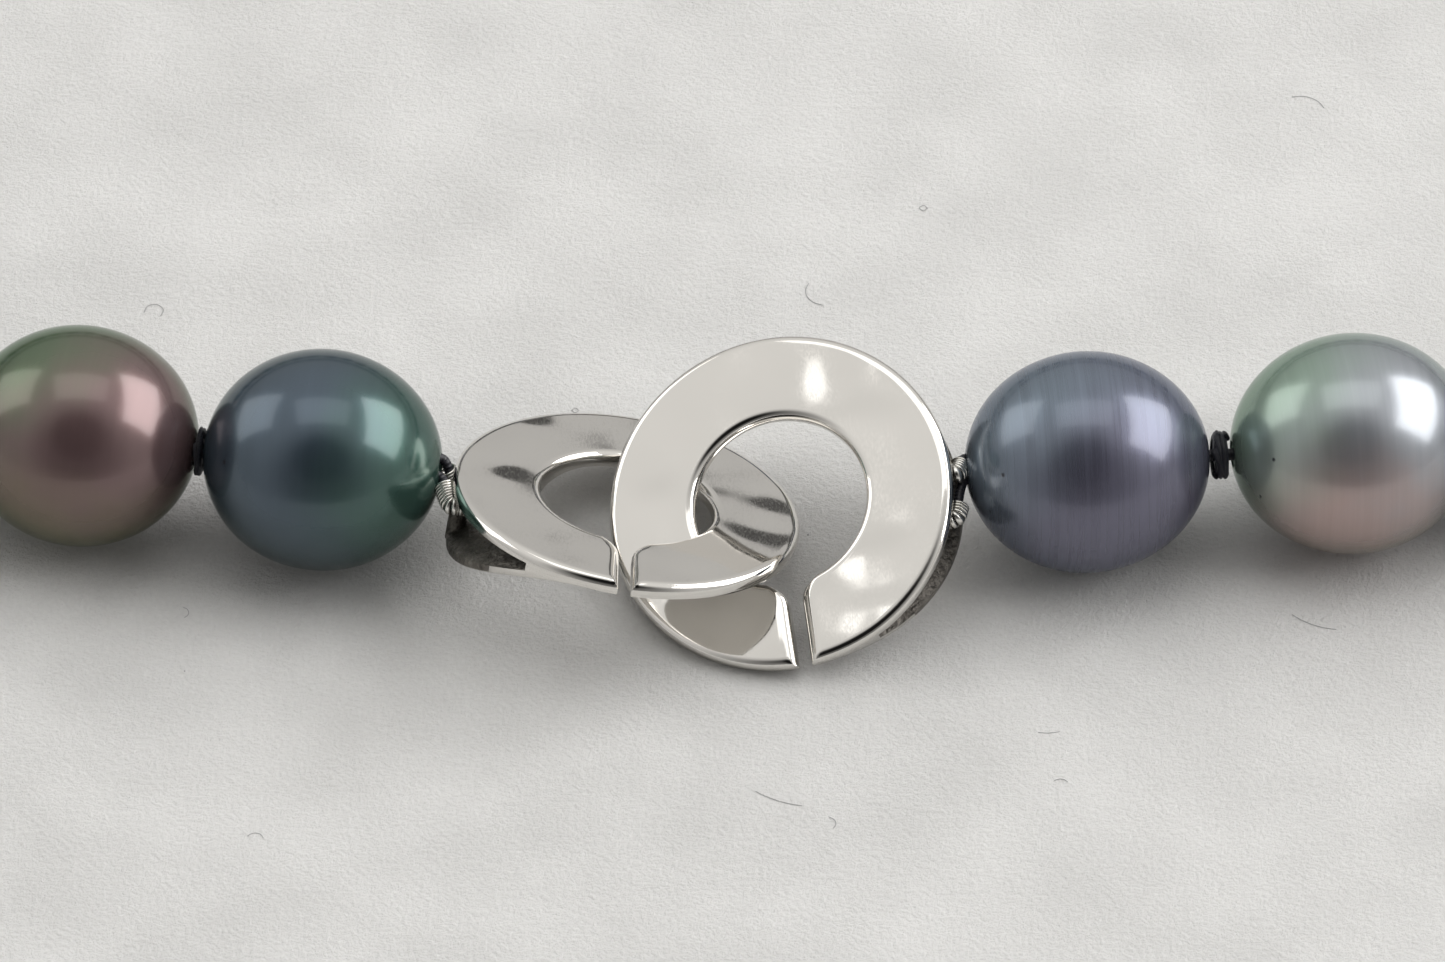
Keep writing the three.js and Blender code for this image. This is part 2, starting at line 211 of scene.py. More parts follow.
class PearlSettings(bpy.types.PropertyGroup):
    rows: bpy.props.IntProperty(
        name="Rows", description="Rows of faces from mouth to mouth", default=56, min=16)
    segments: bpy.props.IntProperty(
        name="Segments", description="Faces round the girth", default=72, min=16)
    drill: bpy.props.FloatProperty(
        name="Drill hole", description="Diameter of the drill hole",
        default=1.1 * MM, unit="LENGTH", precision=4)
    lip: bpy.props.FloatProperty(
        name="Mouth rounding", description="Width of the worn edge of the drill mouth",
        default=0.1 * MM, unit="LENGTH", precision=4)
    unevenness: bpy.props.FloatProperty(
        name="Unevenness", description="Share by which a pearl departs from a true round",
        default=0.006, min=0, max=0.05)
    peacock: bpy.props.FloatVectorProperty(
        name="Peacock", description="Body colour of the peacock pearls",
        subtype="COLOR", size=4, min=0, max=1, default=linear("#3C4A52"))
    aubergine: bpy.props.FloatVectorProperty(
        name="Aubergine", description="Body colour of the aubergine pearls",
        subtype="COLOR", size=4, min=0, max=1, default=linear("#715B5C"))
    slate: bpy.props.FloatVectorProperty(
        name="Slate", description="Body colour of the slate pearls",
        subtype="COLOR", size=4, min=0, max=1, default=linear("#636977"))
    pistachio: bpy.props.FloatVectorProperty(
        name="Pistachio", description="Body colour of the pistachio pearls",
        subtype="COLOR", size=4, min=0, max=1, default=linear("#727D6E"))
    midnight: bpy.props.FloatVectorProperty(
        name="Midnight", description="Body colour of the midnight pearls",
        subtype="COLOR", size=4, min=0, max=1, default=linear("#474A58"))
    silver: bpy.props.FloatVectorProperty(
        name="Silver", description="Body colour of the silver pearls",
        subtype="COLOR", size=4, min=0, max=1, default=linear("#94979D"))


class SilkSettings(bpy.types.PropertyGroup):
    thread: bpy.props.FloatProperty(
        name="Thread", description="Diameter of the silk between the pearls",
        default=0.5 * MM, unit="LENGTH", precision=4)
    knot: bpy.props.FloatProperty(
        name="Knot", description="Diameter of each knot", default=2.0 * MM,
        unit="LENGTH", precision=4)
    ply: bpy.props.FloatProperty(
        name="Ply", description="Diameter of one turn of silk in a knot",
        default=0.36 * MM, unit="LENGTH", precision=4)
    colour: bpy.props.FloatVectorProperty(
        name="Silk", description="Colour of the dyed silk", subtype="COLOR", size=4,
        min=0, max=1, default=linear("#121219"))


class ClaspSettings(bpy.types.PropertyGroup):
    hole: bpy.props.FloatProperty(
        name="Hole radius", description="Radius of a ring's hole",
        default=3.6 * MM, unit="LENGTH", precision=4)
    band: bpy.props.FloatProperty(
        name="Band", description="Width of a ring's face",
        default=3.6 * MM, unit="LENGTH", precision=4)
    thin: bpy.props.FloatProperty(
        name="Thin depth", description="Depth of a ring where it links",
        default=0.65 * MM, unit="LENGTH", precision=4)
    deep: bpy.props.FloatProperty(
        name="Post depth", description="Depth of a ring beside its post",
        default=3.3 * MM, unit="LENGTH", precision=4)
    gap: bpy.props.FloatProperty(
        name="Opening", description="Width of a ring's opening",
        default=0.55 * MM, unit="LENGTH", precision=4)
    rim: bpy.props.FloatProperty(
        name="Rim rounding", description="Radius of the softened outer rim",
        default=0.32 * MM, unit="LENGTH", precision=4)
    metal: bpy.props.FloatVectorProperty(
        name="Metal", description="Colour of the polished white metal",
        subtype="COLOR", size=4, min=0, max=1, default=linear("#DEDBD6"))


class BullionSettings(bpy.types.PropertyGroup):
    wire: bpy.props.FloatProperty(
        name="Wire", description="Diameter of the fine wire",
        default=0.125 * MM, unit="LENGTH", precision=4)
    coil: bpy.props.FloatProperty(
        name="Coil", description="Outside diameter of the coil",
        default=0.9 * MM, unit="LENGTH", precision=4)
    metal: bpy.props.FloatVectorProperty(
        name="Wire metal", description="Colour of the silver wire",
        subtype="COLOR", size=4, min=0, max=1, default=linear("#F0F0EE"))


class StageSettings(bpy.types.PropertyGroup):
    felt: bpy.props.FloatVectorProperty(
        name="Felt", description="Colour of the felt that the necklace lies on",
        subtype="COLOR", size=4, min=0, max=1, default=linear("#DDDCDA"))
    felt_size: bpy.props.FloatProperty(
        name="Felt size", description="Side of the sheet of felt", default=3.0,
        unit="LENGTH")
    lint: bpy.props.IntProperty(
        name="Lint", description="Number of stray fibres on the felt", default=90, min=0)
    lens: bpy.props.FloatProperty(
        name="Lens", description="Focal length of the camera in millimetres",
        default=231.0)
    distance: bpy.props.FloatProperty(
        name="Distance", description="Distance from the camera to the clasp",
        default=0.38, unit="LENGTH")
    elevation: bpy.props.FloatProperty(
        name="Elevation", description="Angle of the camera above the felt",
        default=math.radians(46), subtype="ANGLE")


# Finishes -------------------------------------------------------------------------------

# Second and third colours of each nacre, and where they sit on a pearl. The colour at 'place' is partly the
# nacre's own overtone and partly painted sheen: on the unrolled pearls beside the clasp it sits on the side
# towards a softbox.
# The place is a direction in the pearl's own frame: X along the thread, Z up before the pearl is rolled.
NACRES = {
    "peacock": {"overtone_and_painted_sheen": "#3F5A52", "place": (-0.95, 0.2, 0.1), "blush": "#46525E",
                "blush_place": (0.2, 0.3, 0.9), "edge": "#8C9E98", "lines": 0.3},
    "aubergine": {"overtone_and_painted_sheen": "#56664F", "place": (0.55, -0.45, 0.5), "blush": "#6F6650",
                  "blush_place": (0.1, 0.5, -0.8), "edge": "#8FB094", "lines": 0.25},
    "slate": {"overtone_and_painted_sheen": "#6B7782", "place": (0.7, -0.4, 0.4), "blush": "#646373",
              "blush_place": (-0.3, 0.8, 0.1), "edge": "#9AA0B4", "lines": 1.0},
    "pistachio": {"overtone_and_painted_sheen": "#5F7F6E", "place": (0.4, 0.5, 0.6), "blush": "#827B60",
                  "blush_place": (-0.6, -0.5, 0.3), "edge": "#96BBA2", "lines": 0.4},
    "midnight": {"overtone_and_painted_sheen": "#3F5360", "place": (0.2, -0.7, 0.6), "blush": "#5A4F60",
                 "blush_place": (-0.5, 0.6, 0.3), "edge": "#7A84A4", "lines": 0.5},
    "silver": {"overtone_and_painted_sheen": "#869A8C", "place": (0.75, -0.4, 0.35), "blush": "#A8928E",
               "blush_place": (0.2, 0.75, -0.5), "edge": "#A6BFAC", "lines": 0.4},
}


def nacre_zone(tree, own, cloud, place):
    """A soft patch of colour round one direction on the pearl, its edge broken by clouds."""
    unit = add_node(tree, "ShaderNodeVectorMath", {"operation": "NORMALIZE"}, _0=own)
    facing = add_node(tree, "ShaderNodeVectorMath", {"operation": "DOT_PRODUCT"},
                      _0=unit.outputs[0], _1=Vector(place).normalized())
    drift = add_node(tree, "ShaderNodeMath", {"operation": "MULTIPLY_ADD"},
                     _0=cloud, _1=0.9, _2=facing.outputs["Value"])
    return add_node(tree, "ShaderNodeMapRange", {"interpolation_type": "SMOOTHSTEP"},
                    Value=drift.outputs[0], From_Min=0.45, From_Max=1.45).outputs[0]


def lustrous_nacre(tone, body):
    """Cultured pearl nacre, tumbled and buffed: stacked clear plates, so it reflects like a
    tinted mirror a little out of focus, with soft patches of second colours, one of them partly
    painted sheen on the side towards the lights, faint growth lines round the thread and a few pinpoint pits."""
    recipe = NACRES[tone]
    material, tree = new_material(f"lustrous_{tone}_nacre")
    own = add_node(tree, "ShaderNodeAttribute", {"attribute_name": "pearl_frame"}).outputs["Vector"]
    # Clouds of colour about 4 mm across.
    cloud = add_node(tree, "ShaderNodeTexNoise", Vector=own, Scale=0.25, Detail=3.0,
                     Roughness=0.55).outputs["Fac"]
    # Growth lines about 0.25 mm apart, wandering slowly round the girth.
    stretched = add_node(tree, "ShaderNodeMapping", Vector=own, Scale=(4.0, 0.06, 0.06))
    lines = add_node(tree, "ShaderNodeTexNoise", Vector=stretched.outputs[0], Scale=1.0,
                     Detail=4.0, Roughness=0.65).outputs["Fac"]
    # Orange-peel ripple about 0.7 mm across.
    ripple = add_node(tree, "ShaderNodeTexNoise", Vector=own, Scale=1.4, Detail=2.0).outputs["Fac"]
    # Pits about 0.1 mm across, one in every few square millimetres.
    cells = add_node(tree, "ShaderNodeTexVoronoi", Vector=own, Scale=0.45)
    pits = add_node(tree, "ShaderNodeMapRange", {"interpolation_type": "SMOOTHSTEP"},
                    Value=cells.outputs["Distance"], From_Min=0.02, From_Max=0.06,
                    To_Min=1.0, To_Max=0.0).outputs[0]
    # The nacre's overtone colour, partly painted sheen: on the pearls beside the clasp this patch sits on the side
    # towards a softbox.
    overtone_and_painted_sheen = nacre_zone(tree, own, cloud, recipe["place"])
    blush = nacre_zone(tree, own, cloud, recipe["blush_place"])
    first = add_node(tree, "ShaderNodeMix", {"data_type": "RGBA"}, _0=blush,
                     _6=body, _7=linear(recipe["blush"]))
    second = add_node(tree, "ShaderNodeMix", {"data_type": "RGBA"}, _0=overtone_and_painted_sheen,
                      _6=first.outputs[2], _7=linear(recipe["overtone_and_painted_sheen"]))
    band = add_node(tree, "ShaderNodeMapRange", Value=lines, From_Min=0.3, From_Max=0.7,
                    To_Min=1.0 - 0.14 * recipe["lines"], To_Max=1.0 + 0.1 * recipe["lines"])
    lined = add_node(tree, "ShaderNodeMix", {"data_type": "RGBA", "blend_type": "MULTIPLY"},
                     _0=1.0, _6=second.outputs[2], _7=band.outputs[0])
    pitted = add_node(tree, "ShaderNodeMix", {"data_type": "RGBA"}, _0=pits,
                      _6=lined.outputs[2], _7=linear("#2A2A30"))
    rough = add_node(tree, "ShaderNodeMapRange", Value=lines, From_Min=0.3, From_Max=0.7,
                     To_Min=0.24, To_Max=0.24 + 0.08 * recipe["lines"])
    # Heights in metres: lines and ripple of about a micrometre, pits of ten.
    height = add_node(tree, "ShaderNodeMath", {"operation": "MULTIPLY"}, _0=lines,
                      _1=0.8e-6 * recipe["lines"])
    height = add_node(tree, "ShaderNodeMath", {"operation": "MULTIPLY_ADD"}, _0=ripple,
                      _1=2.5e-6, _2=height.outputs[0])
    height = add_node(tree, "ShaderNodeMath", {"operation": "MULTIPLY_ADD"}, _0=pits,
                      _1=-8e-6, _2=height.outputs[0])
    bump = add_node(tree, "ShaderNodeBump", Strength=1.0, Distance=1.0,
                    Height=height.outputs[0])
    shader = add_node(tree, "ShaderNodeBsdfPrincipled", Base_Color=pitted.outputs[2],
                      Metallic=0.62, Roughness=rough.outputs[0], IOR=1.6,
                      Normal=bump.outputs[0], Coat_Weight=0.55, Coat_Roughness=0.12,
                      Coat_IOR=1.53, Specular_Tint=linear(recipe["edge"]))
    close_material(tree, shader)
    return material


def dyed_silk(body):
    """Black dyed silk, three-ply and hard twisted: a dull thread with a glossy glint on the
    crown of each ply."""
    material, tree = new_material("dyed_twisted_silk")
    strand = add_node(tree, "ShaderNodeAttribute", {"attribute_name": "strand"}).outputs["Vector"]
    # Plies slant across the strand about every 0.18 mm, drawn as coarse as they need to show.
    slant = add_node(tree, "ShaderNodeVectorMath", {"operation": "DOT_PRODUCT"},
                     _0=strand, _1=(1.0, 0.35, 0.0))
    ply = add_node(tree, "ShaderNodeMath", {"operation": "MULTIPLY"},
                   _0=slant.outputs["Value"], _1=2 * math.pi / 0.18)
    crown = add_node(tree, "ShaderNodeMath", {"operation": "SINE"}, _0=ply.outputs[0])
    # Stray filaments about 0.05 mm apart.
    place = add_node(tree, "ShaderNodeTexCoord").outputs["Object"]
    lint = add_node(tree, "ShaderNodeTexNoise", Vector=place, Scale=20000.0, Detail=3.0)
    tone = add_node(tree, "ShaderNodeMix", {"data_type": "RGBA"}, _0=lint.outputs["Fac"],
                    _6=body, _7=linear("#23232C"))
    rough = add_node(tree, "ShaderNodeMapRange", Value=crown.outputs[0], From_Min=-1.0,
                     From_Max=1.0, To_Min=0.62, To_Max=0.4)
    height = add_node(tree, "ShaderNodeMath", {"operation": "MULTIPLY"},
                      _0=crown.outputs[0], _1=2.4e-5)
    height = add_node(tree, "ShaderNodeMath", {"operation": "MULTIPLY_ADD"},
                      _0=lint.outputs["Fac"], _1=1.5e-5, _2=height.outputs[0])
    bump = add_node(tree, "ShaderNodeBump", Strength=1.0, Distance=1.0,
                    Height=height.outputs[0])
    shader = add_node(tree, "ShaderNodeBsdfPrincipled", Base_Color=tone.outputs[2],
                      Roughness=rough.outputs[0], IOR=1.54, Normal=bump.outputs[0],
                      Coat_Weight=0.3, Coat_Roughness=0.25,
                      Sheen_Weight=0.2, Sheen_Roughness=0.4,
                      Sheen_Tint=linear("#6C7090"))
    close_material(tree, shader)
    return material


def polished_white_gold(body):
    """White gold, cast and polished by hand on a soft mop: a bright mirror whose faces
    wander slowly in and out, with hairline scuffs that only show as a faint haze."""
    material, tree = new_material("polished_white_gold")
    place = add_node(tree, "ShaderNodeTexCoord").outputs["Object"]
    # Wander of the polish about 4.5 mm across.
    wander = add_node(tree, "ShaderNodeTexNoise", Vector=place, Scale=220.0, Detail=1.0)
    # Hairline scuffs about 0.06 mm apart, mostly one way.
    brushed = add_node(tree, "ShaderNodeMapping", Vector=place,
                       Rotation=(0.0, 0.0, math.radians(28)), Scale=(1.0, 0.05, 1.0))
    scuffs = add_node(tree, "ShaderNodeTexNoise", Vector=brushed.outputs[0], Scale=16000.0,
                      Detail=2.0)
    rough = add_node(tree, "ShaderNodeMapRange", Value=scuffs.outputs["Fac"], From_Min=0.35,
                     From_Max=0.75, To_Min=0.045, To_Max=0.12)
    tone = add_node(tree, "ShaderNodeMix", {"data_type": "RGBA"},
                    _0=wander.outputs["Fac"], _6=body, _7=linear("#D3D0CB"))
    height = add_node(tree, "ShaderNodeMath", {"operation": "MULTIPLY"},
                      _0=wander.outputs["Fac"], _1=1.9e-4)
    bump = add_node(tree, "ShaderNodeBump", Strength=1.0, Distance=1.0,
                    Height=height.outputs[0])
    shader = add_node(tree, "ShaderNodeBsdfPrincipled", Base_Color=tone.outputs[2],
                      Metallic=1.0, Roughness=rough.outputs[0], Normal=bump.outputs[0])
    close_material(tree, shader)
    return material


def cast_inside(body):
    """The inside of the same casting, left as it came from the mould: grey, grainy and dull,
    with dark patches mixed through it."""
    material, tree = new_material("raw_cast_white_gold")
    place = add_node(tree, "ShaderNodeTexCoord").outputs["Object"]
    # Investment grain about 0.22 mm across.
    grain = add_node(tree, "ShaderNodeTexNoise", Vector=place, Scale=4500.0, Detail=5.0)
    patches = add_node(tree, "ShaderNodeTexNoise", Vector=place, Scale=1300.0, Detail=2.0)
    tone = add_node(tree, "ShaderNodeMix", {"data_type": "RGBA"},
                    _0=patches.outputs["Fac"], _6=linear("#2C2622"), _7=body)
    height = add_node(tree, "ShaderNodeMath", {"operation": "MULTIPLY"},
                      _0=grain.outputs["Fac"], _1=2.2e-4)
    bump = add_node(tree, "ShaderNodeBump", Strength=1.0, Distance=1.0,
                    Height=height.outputs[0])
    rough = add_node(tree, "ShaderNodeMapRange", Value=grain.outputs["Fac"], To_Min=0.32,
                     To_Max=0.6)
    shader = add_node(tree, "ShaderNodeBsdfPrincipled", Base_Color=tone.outputs[2],
                      Metallic=1.0, Roughness=rough.outputs[0], Normal=bump.outputs[0])
    close_material(tree, shader)
    return material


def drawn_silver_wire(body):
    """Fine silver wire, drawn and coiled: every turn carries its own bright line, a little
    yellowed where it has been handled."""
    material, tree = new_material("drawn_silver_wire")
    place = add_node(tree, "ShaderNodeTexCoord").outputs["Object"]
    handled = add_node(tree, "ShaderNodeTexNoise", Vector=place, Scale=1200.0, Detail=2.0)
    tone = add_node(tree, "ShaderNodeMix", {"data_type": "RGBA"},
                    _0=handled.outputs["Fac"], _6=body, _7=linear("#C9C4B8"))
    rough = add_node(tree, "ShaderNodeMapRange", Value=handled.outputs["Fac"], To_Min=0.16,
                     To_Max=0.34)
    shader = add_node(tree, "ShaderNodeBsdfPrincipled", Base_Color=tone.outputs[2],
                      Metallic=1.0, Roughness=rough.outputs[0])
    close_material(tree, shader)
    return material


def pressed_felt(body):
    """Pressed wool felt, off-white: matt, with short matted fibres and a slight nap."""
    material, tree = new_material("pressed_wool_felt")
    place = add_node(tree, "ShaderNodeTexCoord").outputs["Object"]
    # Matted fibres about 0.24 mm apart, tufts about 0.8 mm and soft hollows about 6 mm across.
    matted = add_node(tree, "ShaderNodeTexNoise", Vector=place, Scale=4200.0, Detail=5.0,
                      Roughness=0.72)
    tufts = add_node(tree, "ShaderNodeTexNoise", Vector=place, Scale=1300.0, Detail=3.0)
    hollows = add_node(tree, "ShaderNodeTexNoise", Vector=place, Scale=170.0, Detail=2.0)
    worn = add_node(tree, "ShaderNodeMath", {"operation": "MULTIPLY_ADD"},
                    _0=matted.outputs["Fac"], _1=0.9, _2=hollows.outputs["Fac"])
    shade = add_node(tree, "ShaderNodeMapRange", Value=worn.outputs[0], From_Min=0.7,
                     From_Max=1.2)
    tone = add_node(tree, "ShaderNodeMix", {"data_type": "RGBA"}, _0=shade.outputs[0],
                    _6=linear("#CFCECC"), _7=body)
    height = add_node(tree, "ShaderNodeMath", {"operation": "MULTIPLY"},
                      _0=matted.outputs["Fac"], _1=2.1e-4)
    height = add_node(tree, "ShaderNodeMath", {"operation": "MULTIPLY_ADD"},
                      _0=tufts.outputs["Fac"], _1=8e-5, _2=height.outputs[0])
    bump = add_node(tree, "ShaderNodeBump", Strength=0.8, Distance=1.0,
                    Height=height.outputs[0])
    shader = add_node(tree, "ShaderNodeBsdfPrincipled", Base_Color=tone.outputs[2],
                      Roughness=0.95, IOR=1.5, Normal=bump.outputs[0], Sheen_Weight=0.2,
                      Sheen_Roughness=0.6)
    close_material(tree, shader)
    return material


def loose_fibre():
    """Stray fibres shed on the felt: grey lint, matt."""
    material, tree = new_material("stray_lint")
    shader = add_node(tree, "ShaderNodeBsdfPrincipled", Base_Color=linear("#8B8A8C"),
                      Roughness=0.8)
    close_material(tree, shader)
    return material


# Strands: a section spun or run along X, then laid on a path -----------------------------

def straight_strand(bm, radius, length, steps, sides, turns=0.0, coil_radius=0.0):
    """A capped strand along X, straight or coiled, with the way along it kept as 'strand'."""
    layer = bm.verts.layers.float_vector.get("strand") or bm.verts.layers.float_vector.new(
        "strand")
    before = set(bm.verts)
    facing = "X" if coil_radius else "Y"
    stand = Matrix.Translation((0, 0, coil_radius)) @ Matrix.Rotation(math.pi / 2, 4, facing)
    ring = bmesh.ops.create_circle(bm, cap_ends=True, segments=sides, radius=radius,
                                   matrix=stand)
    faces = list({f for v in ring["verts"] for f in v.link_faces})
    geometry = ring["verts"] + list({e for v in ring["verts"] for e in v.link_edges}) + faces
    bmesh.ops.spin(bm, geom=geometry, cent=(0, 0, 0), axis=(1, 0, 0),
                   dvec=(length / steps, 0, 0), angle=2 * math.pi * turns, steps=steps,
                   use_duplicate=False)
    made = [v for v in bm.verts if v not in before]
    run = math.hypot(length, 2 * math.pi * turns * coil_radius)
    for vert in made:
        share = vert.co.x / length if length else 0.0
        outward = math.hypot(vert.co.y, vert.co.z) - coil_radius
        vert[layer] = (share * run / MM, outward / MM, 0.0)
    return made


class Path:
    """A smooth line through points, with a frame that doesn't twist along it."""

    def __init__(self, points, fine=12):
        self.points = self.smoothed([Vector(p) for p in points], fine)
        self.lengths = [0.0]
        for a, b in zip(self.points, self.points[1:]):
            self.lengths.append(self.lengths[-1] + (b - a).length)
        self.length = self.lengths[-1]
        self.tangents = []
        last = len(self.points) - 1
        for k in range(last + 1):
            self.tangents.append(
                (self.points[min(k + 1, last)] - self.points[max(k - 1, 0)]).normalized())
        side = self.tangents[0].orthogonal().normalized()
        self.sides = []
        for tangent in self.tangents:
            side = (side - side.dot(tangent) * tangent).normalized()
            self.sides.append(side)

    @staticmethod
    def smoothed(points, fine):
        """A Catmull-Rom line through the points."""
        ends = [2 * points[0] - points[1]] + points + [2 * points[-1] - points[-2]]
        line = []
        for a, b, c, d in zip(ends, ends[1:], ends[2:], ends[3:]):
            for k in range(fine):
                t = k / fine
                line.append(0.5 * (2 * b + (c - a) * t + (2 * a - 5 * b + 4 * c - d) * t ** 2
                                   + (3 * b - a - 3 * c + d) * t ** 3))
        return line + [points[-1]]

    def lay(self, x, y, z):
        """The point x along the line, and y and z to its sides."""
        k = 0
        last = len(self.points) - 2
        while k < last and self.lengths[k + 1] < x:
            k += 1
        share = (x - self.lengths[k]) / (self.lengths[k + 1] - self.lengths[k])
        point = self.points[k].lerp(self.points[k + 1], share)
        tangent = self.tangents[k].lerp(self.tangents[k + 1], share).normalized()
        side = self.sides[k].lerp(self.sides[k + 1], share)
        side = (side - side.dot(tangent) * tangent).normalized()
        return point + y * side + z * tangent.cross(side)


def lay_on_path(verts, path):
    for vert in verts:
        vert.co = path.lay(*vert.co)


# Pearls ---------------------------------------------------------------------------------

def pearl_bmesh(place, sizes):
    """A drilled pearl: a spun ball cut flat at both mouths, bored through, its lips worn."""
    bm = bmesh.new()
    layer = bm.verts.layers.float_vector.new("pearl_frame")
    to_x = Matrix.Rotation(math.pi / 2, 4, "Y")
    bmesh.ops.create_uvsphere(bm, u_segments=sizes.segments, v_segments=sizes.rows,
                              radius=1.0, matrix=to_x)
    half_girth = place.girth / 2
    bore = sizes.drill / 2
    half_length = place.half_drilled / math.sqrt(1 - (bore / half_girth) ** 2)
    bmesh.ops.scale(bm, vec=(half_length, half_girth, half_girth), verts=bm.verts)
    inner = []
    for side in (-1, 1):
        cut = bmesh.ops.bisect_plane(
            bm, geom=bm.verts[:] + bm.edges[:] + bm.faces[:],
            plane_co=(side * place.half_drilled, 0, 0), plane_no=(side, 0, 0),
            clear_outer=True)
        rim = [e for e in cut["geom_cut"] if isinstance(e, bmesh.types.BMEdge)]
        grown = bmesh.ops.extrude_edge_only(bm, edges=rim)["geom"]
        verts = [v for v in grown if isinstance(v, bmesh.types.BMVert)]
        bmesh.ops.translate(bm, vec=(-side * 6 * sizes.lip, 0, 0), verts=verts)
        inner += [e for e in grown if isinstance(e, bmesh.types.BMEdge)]
    bmesh.ops.bridge_loops(bm, edges=inner)
    lips = [e for e in bm.edges if e.calc_face_angle(0) > math.radians(50)]
    bmesh.ops.bevel(bm, geom=lips, offset=sizes.lip, segments=3, profile=0.5,
                    affect="EDGES", material=-1)
    bmesh.ops.recalc_face_normals(bm, faces=bm.faces)
    rolled = UNROLLED < place.number <= PEARL_COUNT - UNROLLED
    roll = Matrix.Rotation(place.number * ROLL_STEP if rolled else 0.0, 3, "X")
    seed = Vector((place.number * 3.7, 1.3, 0.4))
    lean = 0.02 * math.sin(place.number * 1.9)
    for vert in bm.verts:
        own = roll @ (vert.co / MM)
        vert[layer] = own
        out = math.hypot(vert.co.y, vert.co.z) / half_girth
        away = smoothstep(0.2, 0.7, out)
        uneven = noise.noise(own * 0.22 + seed) * sizes.unevenness
        egg = 1 + away * (lean * vert.co.x / half_length * 0.5 + uneven)
        vert.co.y *= egg
        vert.co.z *= egg
    bm.transform(place.matrix())
    smooth_faces(bm)
    return bm


class NECKLACE_OT_pearls(bpy.types.Operator):
    """String of drilled pearls, graduated towards the middle"""
    bl_idname = "necklace.pearls"
    bl_label = "Pearls"

    def execute(self, context):
        sizes = context.scene.necklace_pearls
        finishes = {
            f"nacre_{tone}": lustrous_nacre(tone, getattr(sizes, tone)) for tone in NACRES
        }
        for place in PEARLS.values():
            finish_piece(f"drilled_{place.node}", pearl_bmesh(place, sizes),
                         [finishes[place.slot]], place.node, [place.node])
        return {"FINISHED"}


# Silk -----------------------------------------------------------------------------------

def knot_bmesh(middle, along, gap, sizes):
    """Silk between two pearls: a straight thread, turns wound round it and one crossing."""
    bm = bmesh.new()
    radius = sizes.knot / 2
    ply = sizes.ply / 2
    thread = straight_strand(bm, sizes.thread / 2, gap + 2.4 * MM, 6, 10)
    bmesh.ops.translate(bm, vec=(-gap / 2 - 1.2 * MM, 0, 0), verts=thread)
    turns = 2.6
    wound = straight_strand(bm, ply, turns * 1.7 * ply, 52, 10, turns, radius - ply)
    bmesh.ops.translate(bm, vec=(-turns * 0.85 * ply, 0, 0), verts=wound)
    core = straight_strand(bm, radius - 1.2 * ply, 4.0 * ply, 4, 20)
    bmesh.ops.translate(bm, vec=(-2.0 * ply, 0, 0), verts=core)
    crossing = straight_strand(bm, ply, 2.2 * ply, 22, 10, 0.9, radius - 0.75 * ply)
    bmesh.ops.translate(bm, vec=(-1.1 * ply, 0, 0), verts=crossing)
    bmesh.ops.rotate(bm, cent=(0, 0, 0), verts=crossing,
                     matrix=Matrix.Rotation(math.radians(24), 3, "Y"))
    verts = wound + core + crossing
    reach = max(abs(v.co.x) for v in verts)
    wanted = gap / 2 + 0.06 * MM
    for vert in verts:
        out = math.hypot(vert.co.y, vert.co.z) / radius
        vert.co.x *= wanted * (1.08 - 0.42 * min(out, 1.0) ** 2) / reach
    across = UP.cross(along)
    turned = Matrix((along, across, UP)).transposed().to_4x4()
    spin = Matrix.Rotation(middle.x * 900, 4, "X")
    bm.transform(Matrix.Translation(middle) @ turned @ spin)
    smooth_faces(bm)
    return bm


def clasp_path(ring, clasp, pearl_side, near_leg, far_leg):
    """The bullion's line: from one leg at the pearl, round the post, to the other leg."""
    local = []
    for k in range(WRAP_STEPS + 1):
        angle = -WRAP_REACH + 2 * WRAP_REACH * k / WRAP_STEPS
        local.append(Vector((
            ring.side * (clasp["post"] - clasp["wrap"] * math.cos(angle)),
            clasp["wrap"] * math.sin(angle),
            -clasp["wrap_depth"],
        )))
    points = [ring.matrix @ p for p in local]
    mouth = pearl_side.mouth(-1 if pearl_side.number == 1 else 1)
    front = points[0].lerp(mouth - LEG_OFFSET, near_leg)
    back = points[-1].lerp(mouth + LEG_OFFSET, far_leg)
    return [front] + points + [back], mouth


